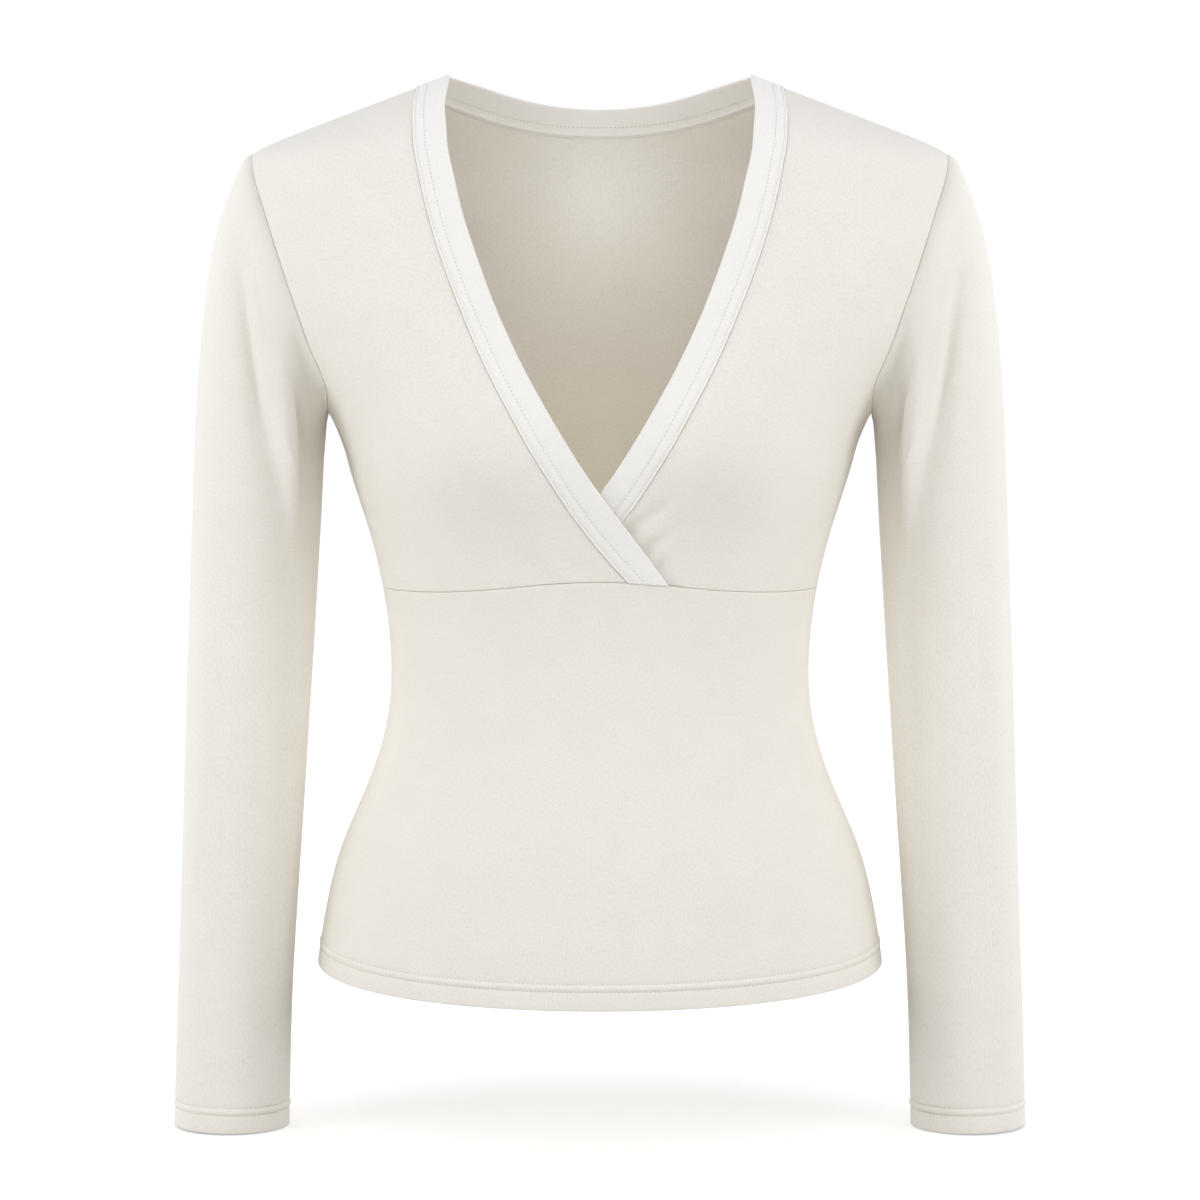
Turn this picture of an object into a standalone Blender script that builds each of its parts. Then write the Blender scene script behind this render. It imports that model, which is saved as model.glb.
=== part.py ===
"""Long-sleeved wrap top in fine jersey, in its worn shape with nothing inside it.

Metres, +Z up.  The wearer faces -Y and the wearer's left hand is on the +X side.  The origin lies
half way between the two shoulder seams, at the height where they reach the neckband.

The top is hollow.  Every cut piece of cloth is a sheet laid on one body form and given a wall:
neck, hem, cuffs and armholes stay open.  A place on the form is an angle round the body, 0 at the
centre front and +90 at the wearer's left side seam, and a height.
"""
import math
from collections import namedtuple

import bmesh
import bpy
import numpy as np

# ---------------------------------------------------------------- sizes of the cloth
COLLECTION = "wrap_top"
SEAM_GAP = 0.0003
CLOTH_WALL = 0.0012
DOUBLE_WALL = 0.0020
BAND_PROUD = DOUBLE_WALL - CLOTH_WALL
TURN_UP = 0.015

# ---------------------------------------------------------------- the body form
BodyRow = namedtuple("BodyRow", "height half_width front back")
BODY = [
    BodyRow(-0.550, 0.1700, 0.1085, 0.1205),
    BodyRow(-0.519, 0.1668, 0.1080, 0.1180),
    BodyRow(-0.484, 0.1612, 0.1060, 0.1130),
    BodyRow(-0.452, 0.1530, 0.1025, 0.1040),
    BodyRow(-0.420, 0.1397, 0.0975, 0.0925),
    BodyRow(-0.390, 0.1287, 0.0930, 0.0825),
    BodyRow(-0.360, 0.1232, 0.0902, 0.0755),
    BodyRow(-0.330, 0.1233, 0.0898, 0.0745),
    BodyRow(-0.296, 0.1277, 0.0940, 0.0800),
    BodyRow(-0.262, 0.1360, 0.1015, 0.0885),
    BodyRow(-0.230, 0.1461, 0.1085, 0.0950),
    BodyRow(-0.197, 0.1578, 0.1105, 0.0980),
    BodyRow(-0.164, 0.1815, 0.1060, 0.0990),
    BodyRow(-0.130, 0.2045, 0.0988, 0.0980),
    BodyRow(-0.090, 0.2150, 0.0885, 0.0940),
    BodyRow(-0.060, 0.2113, 0.0795, 0.0870),
    BodyRow(-0.0446, 0.2020, 0.0735, 0.0815),
    BodyRow(-0.0310, 0.1713, 0.0680, 0.0735),
    BodyRow(-0.0155, 0.1307, 0.0620, 0.0635),
    BodyRow(0.0000, 0.0892, 0.0570, 0.0550),
    BodyRow(0.0080, 0.0680, 0.0550, 0.0515),
]
FLATNESS = 0.02

BUST_ACROSS = 0.078
BUST_HEIGHT = -0.215
BUST_FULLNESS = 0.016
BUST_SPREAD = 0.050
BUST_ABOVE = 0.055
BUST_BELOW = 0.038

# ---------------------------------------------------------------- seams and edges on the form
SIDE_ANGLE = 90.0
SHOULDER_POINT = -0.0446
UNDERARM = -0.1950
SHOULDER_NECK = -0.0070
ArmholeRow = namedtuple("ArmholeRow", "share across")
ARMHOLE = [
    ArmholeRow(0.00, 0.1588),
    ArmholeRow(0.06, 0.1572),
    ArmholeRow(0.22, 0.1643),
    ArmholeRow(0.37, 0.1722),
    ArmholeRow(0.51, 0.1795),
    ArmholeRow(0.65, 0.1866),
    ArmholeRow(0.82, 0.1953),
    ArmholeRow(0.95, 0.2011),
    ArmholeRow(1.00, 0.2020),
]

HEM_SIDE = -0.5183
HEM_FRONT_DROP = 0.0122
HEM_BACK_DROP = 0.0080
EMPIRE_SIDE = -0.2970
EMPIRE_RISE = 0.0080
EMPIRE_SPREAD = 26.0

NeckRow = namedtuple("NeckRow", "seam_angle seam_height edge_angle edge_height")
NECK = [
    NeckRow(180.0, -0.0311, 180.0, -0.0152),
    NeckRow(161.0, -0.0262, 157.0, -0.0102),
    NeckRow(142.0, -0.0170, 137.0, -0.0041),
    NeckRow(117.0, -0.0095, 115.0, -0.0001),
    NeckRow(90.0, -0.0070, 90.0, 0.0018),
    NeckRow(64.2, -0.0097, 62.0, -0.0018),
    NeckRow(46.0, -0.0215, 41.5, -0.0155),
    NeckRow(34.1, -0.0376, 28.6, -0.0346),
    NeckRow(28.9, -0.0619, 23.2, -0.0575),
    NeckRow(26.3, -0.0880, 20.6, -0.0840),
    NeckRow(22.8, -0.1299, 17.4, -0.1240),
    NeckRow(19.9, -0.1750, 13.9, -0.1660),
    NeckRow(12.3, -0.2246, 5.6, -0.2150),
    NeckRow(6.0, -0.2491, -0.7, -0.2390),
    NeckRow(-1.1, -0.2730, -8.6, -0.2650),
    NeckRow(-7.2, -0.2892, -17.5, -0.2902),
]

# ---------------------------------------------------------------- the wrap
CROSSING_HEIGHT = -0.2364
CROSSING_FALL = 0.00306
UNDER_FADE = 0.050
UNDER_DEPTH = CLOTH_WALL + SEAM_GAP

# ---------------------------------------------------------------- the sleeves
SleeveRow = namedtuple("SleeveRow", "outer_x outer_z inner_x inner_z middle_y half_depth")
SLEEVE = [
    SleeveRow(0.2020, -0.0446, 0.1588, -0.1950, 0.000, 0.0540),
    SleeveRow(0.2050, -0.0463, 0.1592, -0.1959, 0.000, 0.0545),
    SleeveRow(0.2098, -0.0527, 0.1597, -0.1974, 0.000, 0.0550),
    SleeveRow(0.2181, -0.0730, 0.1602, -0.2002, 0.000, 0.0560),
    SleeveRow(0.2259, -0.1004, 0.1607, -0.2043, 0.000, 0.0560),
    SleeveRow(0.2314, -0.1353, 0.1612, -0.2113, 0.000, 0.0540),
    SleeveRow(0.2350, -0.1740, 0.1620, -0.2260, -0.001, 0.0500),
    SleeveRow(0.2376, -0.2172, 0.1629, -0.2436, -0.001, 0.0460),
    SleeveRow(0.2392, -0.2620, 0.1640, -0.2680, -0.002, 0.0435),
    SleeveRow(0.2408, -0.3054, 0.1664, -0.3054, -0.003, 0.0420),
    SleeveRow(0.2428, -0.3645, 0.1703, -0.3645, -0.006, 0.0400),
    SleeveRow(0.2447, -0.4238, 0.1741, -0.4238, -0.008, 0.0385),
    SleeveRow(0.2467, -0.4833, 0.1782, -0.4833, -0.010, 0.0365),
    SleeveRow(0.2487, -0.5430, 0.1815, -0.5430, -0.013, 0.0345),
    SleeveRow(0.2509, -0.6130, 0.1833, -0.6140, -0.015, 0.0330),
]
CAP_FADE = 0.22

FoldRow = namedtuple("FoldRow", "angle turn start end spread height")
SLEEVE_FOLDS = [
    FoldRow(128.0, 12.0, 0.10, 0.62, 15.0, 0.0030),
    FoldRow(160.0, 6.0, 0.12, 0.55, 12.0, -0.0035),
    FoldRow(92.0, -10.0, 0.14, 0.50, 16.0, -0.0020),
    FoldRow(232.0, -10.0, 0.10, 0.60, 15.0, 0.0028),
    FoldRow(201.0, -5.0, 0.12, 0.55, 12.0, -0.0032),
]

# ---------------------------------------------------------------- cells in each sheet of cloth
BODICE_ACROSS = 13
BODICE_SIDE = 5
ARMHOLE_CELLS = 15
SHOULDER_CELLS = 5
BACK_NECK_CELLS = 8
BACK_SIDE = 14
LOWER_ACROSS = 22
LOWER_UP = 11
BAND_ACROSS = 4
SLEEVE_DOWN = 25
EDGE_CROWDING = 0.55
SHARED_CROWDING = 0.3
SLEEVE_CROWDING = 1.15
BACK_LEAN = 3.0
HEM_TOP_ROW = 0.6
FINE_STEPS = 401
NORMAL_ANGLE = 0.5
NORMAL_HEIGHT = 0.0005
WELD = 0.00001

JERSEY = (0.787, 0.756, 0.694)
BAND_JERSEY = (0.838, 0.823, 0.787)
JERSEY_ROUGHNESS = 0.92


# ---------------------------------------------------------------- curves
def smooth_curve(places, values):
    """The natural cubic curve through the values at the places, as a function of the place."""
    places = np.asarray(places, float)
    values = np.asarray(values, float)
    count = len(places)
    steps = np.diff(places)
    system = np.eye(count)
    bends = np.zeros(count)
    for i in range(1, count - 1):
        system[i, i - 1:i + 2] = steps[i - 1], 2.0 * (steps[i - 1] + steps[i]), steps[i]
        rise_after = (values[i + 1] - values[i]) / steps[i]
        rise_before = (values[i] - values[i - 1]) / steps[i - 1]
        bends[i] = 6.0 * (rise_after - rise_before)
    bends = np.linalg.solve(system, bends)

    def at(place):
        place = np.asarray(place, float)
        cell = np.clip(np.searchsorted(places, place) - 1, 0, count - 2)
        width = steps[cell]
        before = (places[cell + 1] - place) / width
        after = (place - places[cell]) / width
        straight = before * values[cell] + after * values[cell + 1]
        bow = (before**3 - before) * bends[cell] + (after**3 - after) * bends[cell + 1]
        return straight + bow * width**2 / 6.0

    return at


def column(table, name):
    """One named column of a table, as an array."""
    return np.array([getattr(row, name) for row in table])


def ease(share):
    """A share from 0 to 1 that leaves and arrives gently, flat beyond both ends."""
    share = np.clip(share, 0.0, 1.0)
    return share * share * (3.0 - 2.0 * share)


def crowded(share, crowding):
    """Even shares from 0 to 1 drawn toward both ends, so that rows are close beside a seam."""
    return share - crowding * np.sin(2.0 * math.pi * share) / (2.0 * math.pi)


# ---------------------------------------------------------------- the body form as a function
HALF_WIDTH = smooth_curve(column(BODY, "height"), column(BODY, "half_width"))
FRONT_DEPTH = smooth_curve(column(BODY, "height"), column(BODY, "front"))
BACK_DEPTH = smooth_curve(column(BODY, "height"), column(BODY, "back"))


def bust(across, height):
    """Depth that the two bust mounds add at a distance across and a height."""
    above = np.where(height > BUST_HEIGHT, BUST_ABOVE, BUST_BELOW)
    rise = np.exp(-((height - BUST_HEIGHT) / above) ** 2)
    left = np.exp(-((across - BUST_ACROSS) / BUST_SPREAD) ** 2)
    right = np.exp(-((across + BUST_ACROSS) / BUST_SPREAD) ** 2)
    return BUST_FULLNESS * rise * (left + right)


def body(angle, height):
    """The point of the body form at an angle in degrees and a height, last axis x, y, z."""
    turn = np.radians(angle)
    across = HALF_WIDTH(height) * np.sin(turn)
    facing = np.cos(turn)
    depth = (facing - FLATNESS * np.cos(3.0 * turn)) / (1.0 - FLATNESS)
    front = FRONT_DEPTH(height) * depth + bust(across, height) * facing
    forward = np.where(facing > 0.0, front, BACK_DEPTH(height) * depth)
    return np.stack(np.broadcast_arrays(across, -forward, height), axis=-1)


def outward(angle, height):
    """The form's outward unit normal."""
    round_body = body(angle + NORMAL_ANGLE, height) - body(angle - NORMAL_ANGLE, height)
    up_body = body(angle, height + NORMAL_HEIGHT) - body(angle, height - NORMAL_HEIGHT)
    normal = np.cross(round_body, up_body)
    return normal / np.linalg.norm(normal, axis=-1, keepdims=True)


def raised(angle, height, lift):
    """The form's point moved out by the lift."""
    return body(angle, height) + outward(angle, height) * np.asarray(lift)[..., None]


# ---------------------------------------------------------------- seam lines, as angle and height
ARMHOLE_ACROSS = smooth_curve(column(ARMHOLE, "share"), column(ARMHOLE, "across"))
NECK_PLACES = np.linspace(0.0, 1.0, len(NECK))
NECK_CURVES = [smooth_curve(NECK_PLACES, column(NECK, name)) for name in NeckRow._fields]


def hem_height(angle):
    """The hem's height: level at the sides, lower at the centres."""
    facing = np.cos(np.radians(angle))
    drop = np.where(facing > 0.0, HEM_FRONT_DROP * facing, -HEM_BACK_DROP * facing)
    return HEM_SIDE - drop


def empire_height(angle):
    """The seam under the bust, which rises at the centre front."""
    return EMPIRE_SIDE + EMPIRE_RISE * np.exp(-((angle / EMPIRE_SPREAD) ** 2))


def armhole(share):
    """Angle and height of the armhole on the front, from the underarm, 0, to the shoulder, 1."""
    height = UNDERARM + (SHOULDER_POINT - UNDERARM) * share
    reach = np.clip(ARMHOLE_ACROSS(share) / HALF_WIDTH(height), 0.0, 1.0)
    angle = np.degrees(np.arcsin(reach))
    ends = (share <= 0.0) | (share >= 1.0)
    return np.where(ends, SIDE_ANGLE, angle), height


def neck_line(place, share):
    """Angle and height on the neckband at a place from the centre back, 0, to its end, 1.

    The share runs from the seam, 0, to the free edge, 1.
    """
    seam_angle, seam_height, edge_angle, edge_height = [curve(place) for curve in NECK_CURVES]
    return (seam_angle + share * (edge_angle - seam_angle),
            seam_height + share * (edge_height - seam_height))


SHOULDER_PLACE = NECK_PLACES[column(NECK, "seam_angle") == SIDE_ANGLE][0]


def neck_seam(place):
    """Angle and height of the seam that joins the neckband to the panels."""
    return neck_line(place, 0.0)


def stations(line, cells, crowding=EDGE_CROWDING):
    """Places from 0 to 1 on a line of angle and height, even in length but closer at its ends."""
    fine = np.linspace(0.0, 1.0, FINE_STEPS)
    path = body(*line(fine))
    lengths = np.concatenate([[0.0], np.cumsum(np.linalg.norm(np.diff(path, axis=0), axis=1))])
    shares = crowded(np.linspace(0.0, 1.0, cells + 1), crowding)
    return np.interp(shares * lengths[-1], lengths, fine)


def joined(*lines):
    """One side of a patch from several lines, end to end, each given with its places."""
    first_line, first_places = lines[0]
    angle, height = first_line(first_places)
    for line, places in lines[1:]:
        more_angle, more_height = line(places[1:])
        angle = np.concatenate([angle, more_angle])
        height = np.concatenate([height, more_height])
    return angle, height


def neck_places(low, high, cells):
    """Places on the neck seam from low to high, where the band and the panels share points."""
    def stretch(share):
        return neck_seam(low + (high - low) * share)
    return low + (high - low) * stations(stretch, cells, SHARED_CROWDING)


ARMHOLE_PLACES = stations(armhole, ARMHOLE_CELLS, SHARED_CROWDING)
BACK_NECK_PLACES = neck_places(0.0, SHOULDER_PLACE, BACK_NECK_CELLS)
FRONT_NECK_PLACES = neck_places(SHOULDER_PLACE, 1.0, BODICE_SIDE + ARMHOLE_CELLS)


def patch(bottom, top, first, last, lean=1.0):
    """A four-sided patch of angles and heights from its four sides, each an array of both.

    A lean over 1 keeps the top side's shape to the rows near it.
    """
    across = np.linspace(0.0, 1.0, len(bottom[0]))[None, :]
    up = np.linspace(0.0, 1.0, len(first[0]))[:, None] ** lean
    angle_height = []
    for k in (0, 1):
        ruled_up = (1.0 - up) * bottom[k][None, :] + up * top[k][None, :]
        ruled_across = (1.0 - across) * first[k][:, None] + across * last[k][:, None]
        low = (1.0 - across) * bottom[k][0] + across * bottom[k][-1]
        high = (1.0 - across) * top[k][0] + across * top[k][-1]
        angle_height.append(ruled_up + ruled_across - (1.0 - up) * low - up * high)
    return angle_height


# ---------------------------------------------------------------- sheets of cloth
def drawn_back(points, closed_round=False):
    """The sheet with its edges moved in by half the seam gap, square to each edge."""
    along_u = np.gradient(points, axis=1)
    along_v = np.gradient(points, axis=0)
    normal = np.cross(along_u, along_v)
    normal /= np.linalg.norm(normal, axis=-1, keepdims=True)
    moved = points.copy()
    half = SEAM_GAP / 2.0

    def inward(tangent, normals, sign):
        step = sign * np.cross(normals, tangent)
        return half * step / np.linalg.norm(step, axis=-1, keepdims=True)

    moved[0] += inward(along_u[0], normal[0], 1.0)
    moved[-1] += inward(along_u[-1], normal[-1], -1.0)
    if not closed_round:
        moved[:, 0] += inward(along_v[:, 0], normal[:, 0], -1.0)
        moved[:, -1] += inward(along_v[:, -1], normal[:, -1], 1.0)
    return moved


def material(name, colour):
    """A matte jersey of one colour."""
    made = bpy.data.materials.new(name)
    made.use_nodes = True
    shader = made.node_tree.nodes["Principled BSDF"]
    shader.inputs["Base Color"].default_value = (*colour, 1.0)
    shader.inputs["Roughness"].default_value = JERSEY_ROUGHNESS
    shader.inputs["Metallic"].default_value = 0.0
    return made


def cloth(name, points, colour, wall=CLOTH_WALL, turned_up=None, closed_round=False):
    """A sheet with its outer face on the points, rows by columns, and its wall inside them.

    turned_up marks the rows and columns that are double, where a hem or cuff is folded in.
    """
    rows, columns = points.shape[:2]
    sheet = bmesh.new()
    bmesh.ops.create_grid(sheet, x_segments=columns - 1, y_segments=rows - 1, size=0.5)
    layer = sheet.verts.layers.deform.verify()
    single = CLOTH_WALL / DOUBLE_WALL
    for vertex in sheet.verts:
        i = round((vertex.co.x + 0.5) * (columns - 1))
        j = round((vertex.co.y + 0.5) * (rows - 1))
        if turned_up is not None:
            vertex[layer][0] = 1.0 if turned_up[j, i] else single
        vertex.co = points[j, i]
    if closed_round:
        bmesh.ops.remove_doubles(sheet, verts=sheet.verts, dist=WELD)
    mesh = bpy.data.meshes.new(name)
    sheet.to_mesh(mesh)
    sheet.free()
    mesh.shade_smooth()
    made = bpy.data.objects.new(name, mesh)
    made.data.materials.append(material(name, colour))
    bpy.data.collections[COLLECTION].objects.link(made)
    thickness = made.modifiers.new("wall", "SOLIDIFY")
    thickness.offset = -1.0
    thickness.thickness = wall
    if turned_up is not None:
        made.vertex_groups.new(name="double")
        thickness.thickness = DOUBLE_WALL
        thickness.vertex_group = "double"
    return made


# ---------------------------------------------------------------- the cut pieces
def under_share(angle, height):
    """1 where the right front covers the left one, easing to 0 above and beyond its edge."""
    covering_edge = CROSSING_HEIGHT - CROSSING_FALL * angle
    return 1.0 - ease((height - covering_edge) / UNDER_FADE)


def bodice(side, depth):
    """A front bodice from the neckband's seam to the armhole; side is +1 on the wearer's left.

    Its inner edge is the whole neck seam of that side, which runs past the centre front, and the
    depth is how far it lies inside the form where the other front covers it.
    """
    end_angle, _ = neck_line(1.0, 0.0)
    empire_side = empire_height(SIDE_ANGLE)

    def empire_line(share):
        angle = end_angle + (SIDE_ANGLE - end_angle) * share
        return angle, empire_height(angle)

    def side_seam(share):
        return SIDE_ANGLE + 0.0 * share, empire_side + (UNDERARM - empire_side) * share

    def shoulder_seam(share):
        return SIDE_ANGLE + 0.0 * share, SHOULDER_NECK + (SHOULDER_POINT - SHOULDER_NECK) * share

    angle, height = patch(
        joined((empire_line, stations(empire_line, BODICE_ACROSS))),
        joined((shoulder_seam, stations(shoulder_seam, BODICE_ACROSS))),
        joined((neck_seam, FRONT_NECK_PLACES[::-1])),
        joined((side_seam, stations(side_seam, BODICE_SIDE, 0.0)),
               (armhole, ARMHOLE_PLACES)),
    )
    lift = -depth * under_share(angle, height)
    points = raised(angle, height, lift)
    if side < 0:
        points = points[:, ::-1] * np.array([-1.0, 1.0, 1.0])
    return drawn_back(points)


def lower_front():
    """The front below the seam under the bust, from side seam to side seam."""
    across = crowded(np.linspace(0.0, 1.0, LOWER_ACROSS + 1), EDGE_CROWDING)
    up = hem_rows(LOWER_UP, -EMPIRE_SIDE + HEM_SIDE)
    angle = (-SIDE_ANGLE + 2.0 * SIDE_ANGLE * across)[None, :]
    low = hem_height(angle)
    height = low + (empire_height(angle) - low) * up[:, None]
    return drawn_back(body(angle + 0.0 * height, height)), height - low < TURN_UP


def hem_rows(cells, length):
    """Shares up a piece from its hem, with one row at the top of the turned-up cloth."""
    fold = TURN_UP / abs(length)
    above = fold + (1.0 - fold) * np.linspace(0.0, 1.0, cells - 1)
    above[-2] += HEM_TOP_ROW * (above[-1] - above[-2])
    return np.concatenate([[0.0, 0.5 * fold], above])


def back_piece():
    """The back in one piece, from the hem to the neck seam, both shoulders and both armholes."""

    def hem_line(share):
        angle = SIDE_ANGLE + 180.0 * share
        return angle, hem_height(angle)

    def side_line(share):
        return SIDE_ANGLE + 0.0 * share, HEM_SIDE + (UNDERARM - HEM_SIDE) * share

    def back_armhole(share):
        angle, height = armhole(share)
        return 180.0 - angle, height

    def shoulder_seam(share):
        return SIDE_ANGLE + 0.0 * share, SHOULDER_POINT + (SHOULDER_NECK - SHOULDER_POINT) * share

    left_side = joined((side_line, hem_rows(BACK_SIDE, UNDERARM - HEM_SIDE)),
                       (back_armhole, ARMHOLE_PLACES))
    left_top = joined((shoulder_seam, stations(shoulder_seam, SHOULDER_CELLS)),
                      (neck_seam, BACK_NECK_PLACES[::-1]))
    top = [np.concatenate([left_top[0], 360.0 - left_top[0][-2::-1]]),
           np.concatenate([left_top[1], left_top[1][-2::-1]])]
    angle, height = patch(
        joined((hem_line, np.linspace(0.0, 1.0, len(top[0])))),
        top,
        left_side,
        [360.0 - left_side[0], left_side[1]],
        lean=BACK_LEAN,
    )
    return drawn_back(body(angle, height)), height - hem_height(angle) < TURN_UP


def neckband():
    """One folded strip from the end of the right front, round the neck, to the end of the left."""
    left_half = np.concatenate([BACK_NECK_PLACES, FRONT_NECK_PLACES[1:]])
    place = np.concatenate([-left_half[:0:-1], left_half])
    share = np.linspace(1.0, 0.0, BAND_ACROSS + 1)
    angle, height = neck_line(np.abs(place)[None, :], share[:, None])
    on_left = place[None, :] > 0.0
    hidden = np.where(on_left, under_share(angle, height), 0.0)
    lift = BAND_PROUD - (BAND_PROUD + UNDER_DEPTH) * hidden
    angle = np.where(on_left, angle, -angle)
    return drawn_back(raised(angle, height, lift))


def sleeve(side):
    """A set-in sleeve: rings from the armhole loop, down a fan of slanted rings, to the cuff.

    A ring runs round from its inner end, through the back, the outer end and the front.
    """
    rows = np.linspace(0.0, 1.0, len(SLEEVE))
    down = np.linspace(0.0, 1.0, SLEEVE_DOWN + 1) ** SLEEVE_CROWDING
    curves = {name: smooth_curve(rows, column(SLEEVE, name)) for name in SleeveRow._fields}
    values = {name: curve(down)[:, None] for name, curve in curves.items()}
    share = ARMHOLE_PLACES
    turn = np.arccos(np.clip(2.0 * share - 1.0, -1.0, 1.0))
    turn = np.concatenate([-turn, turn[-2::-1]])[None, :]
    toward_outer = 0.5 + 0.5 * np.cos(turn)
    x = values["inner_x"] + (values["outer_x"] - values["inner_x"]) * toward_outer
    z = values["inner_z"] + (values["outer_z"] - values["inner_z"]) * toward_outer
    y = values["middle_y"] - values["half_depth"] * np.sin(turn)
    points = np.stack(np.broadcast_arrays(x, y, z), axis=-1)

    angle, height = armhole(np.concatenate([share, share[-2::-1]]))
    loop = body(np.where(turn[0] > 0.0, angle, 180.0 - angle), height)
    fade = 1.0 - ease(down / CAP_FADE)
    points = points + fade[:, None, None] * (loop - points[0])[None, :, :]

    length = values["outer_x"] - values["inner_x"]
    drop = values["outer_z"] - values["inner_z"]
    out_x = np.hypot(length, drop)
    normal_x = length / out_x * np.cos(turn)
    normal_z = drop / out_x * np.cos(turn)
    normal_y = -np.sin(turn) + 0.0 * normal_x
    swell = sleeve_folds(np.degrees(turn) % 360.0, down[:, None])
    points = points + swell[..., None] * np.stack([normal_x, normal_y, normal_z], axis=-1)
    cuff_edge = points[-1, :, 2][None, :]
    turned_up = points[:, :, 2] - cuff_edge < TURN_UP
    if side < 0:
        points = points[:, ::-1] * np.array([-1.0, 1.0, 1.0])
    return drawn_back(points, closed_round=True), turned_up


def sleeve_folds(angle, down):
    """Outward shift of the sleeve's soft folds at an angle round it and a share down it."""
    swell = 0.0 * angle * down
    for fold in SLEEVE_FOLDS:
        share = (down - fold.start) / (fold.end - fold.start)
        centre = fold.angle + fold.turn * share
        across = np.exp(-(((angle - centre) / fold.spread) ** 2))
        along = np.sin(math.pi * np.clip(share, 0.0, 1.0)) ** 2
        swell = swell + fold.height * across * along
    return swell


def main():
    """Clear the scene and make the seven pieces of cloth."""
    for leftover in list(bpy.data.objects):
        bpy.data.objects.remove(leftover)
    collection = bpy.data.collections.new(COLLECTION)
    bpy.context.scene.collection.children.link(collection)

    cloth("front_right", bodice(-1, 0.0), JERSEY)
    cloth("front_left", bodice(1, UNDER_DEPTH), JERSEY)
    points, turned_up = lower_front()
    cloth("front_lower", points, JERSEY, turned_up=turned_up)
    points, turned_up = back_piece()
    cloth("back", points, JERSEY, turned_up=turned_up)
    cloth("neckband", neckband(), BAND_JERSEY, wall=DOUBLE_WALL)
    for name, side in (("sleeve_right", -1), ("sleeve_left", 1)):
        points, turned_up = sleeve(side)
        cloth(name, points, JERSEY, turned_up=turned_up, closed_round=True)


main()
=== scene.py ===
# %% [markdown]
# # A long-sleeved wrap top in fine off-white jersey
#
# The real top is cut from one thin, matte knitted cloth: a back, a piece below the bust, two
# bodices that cross over each other, two set-in sleeves and one folded neckband.  Nothing is
# inside it, yet it keeps the shape of a wearer.  The solids that come with it have its form.  This
# lesson lays a much finer cloth on that form, with rolled seams, folded hems, a few soft creases,
# real stitches and a knitted finish.

# %% Load the fixed frame
import math
from collections import namedtuple

import bpy
import numpy as np
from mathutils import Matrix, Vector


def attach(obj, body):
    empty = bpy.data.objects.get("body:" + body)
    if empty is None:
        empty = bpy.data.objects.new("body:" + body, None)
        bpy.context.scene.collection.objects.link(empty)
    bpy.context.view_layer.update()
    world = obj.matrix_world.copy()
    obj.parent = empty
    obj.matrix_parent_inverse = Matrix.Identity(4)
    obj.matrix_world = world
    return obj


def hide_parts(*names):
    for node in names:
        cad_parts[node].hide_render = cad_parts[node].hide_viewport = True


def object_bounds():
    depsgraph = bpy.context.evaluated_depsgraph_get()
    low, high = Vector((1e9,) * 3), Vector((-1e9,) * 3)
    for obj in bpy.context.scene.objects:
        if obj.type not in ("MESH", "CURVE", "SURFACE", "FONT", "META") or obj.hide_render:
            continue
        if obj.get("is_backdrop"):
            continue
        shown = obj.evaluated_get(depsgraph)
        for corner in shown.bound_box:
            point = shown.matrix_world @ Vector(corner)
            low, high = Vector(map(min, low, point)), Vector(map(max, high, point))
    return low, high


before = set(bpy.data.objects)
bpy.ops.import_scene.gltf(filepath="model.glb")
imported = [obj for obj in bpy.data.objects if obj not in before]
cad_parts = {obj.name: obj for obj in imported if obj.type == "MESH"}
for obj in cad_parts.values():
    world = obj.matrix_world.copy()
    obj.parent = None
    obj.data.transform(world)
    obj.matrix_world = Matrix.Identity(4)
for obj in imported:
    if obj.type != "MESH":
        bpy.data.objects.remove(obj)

cad_low, cad_high = (list(corner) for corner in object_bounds())
print("solids:", ", ".join(sorted(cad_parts)))
print("their box:", [round(v, 4) for v in cad_low], [round(v, 4) for v in cad_high])

# %% [markdown]
# ## The camera
#
# A long lens from some way off, a little above the middle, shows both sleeves equally long and
# the hem as a shallow curve.  The camera could be aimed with a constraint, but two numbers, how
# high and how far, are easier to read and to change.

# %% The camera
EYE_ELEVATION = math.radians(4.0)
EYE_DISTANCE = 2.2
EYE_LEVEL = -0.3054
LENS = 112.2


def placed(name, data):
    """A new object of the data, put into the scene."""
    made = bpy.data.objects.new(name, data)
    bpy.context.scene.collection.objects.link(made)
    return made


camera = placed("camera", bpy.data.cameras.new("camera"))
camera.data.lens = LENS
camera.data.sensor_width = 36.0
camera.location = (0.0, -EYE_DISTANCE * math.cos(EYE_ELEVATION),
                   EYE_LEVEL + EYE_DISTANCE * math.sin(EYE_ELEVATION))
camera.rotation_euler = (math.pi / 2.0 - EYE_ELEVATION, 0.0, 0.0)
bpy.context.scene.camera = camera
print("camera", round(EYE_DISTANCE, 2), "m away")

# %% [markdown]
# ## Floor and light
#
# White cloth on white paper needs light from everywhere, or its far side turns grey.  So the
# whole sky is a weak lamp, plain white to the eye, and five large soft lamps add just enough
# direction to model the folds.  Two weak lamps inside stand for the light that comes through the
# thin cloth.  The floor is a wide, round white sheet just under the cuffs, and their soft shadows
# on it hold the top in its place.

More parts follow.
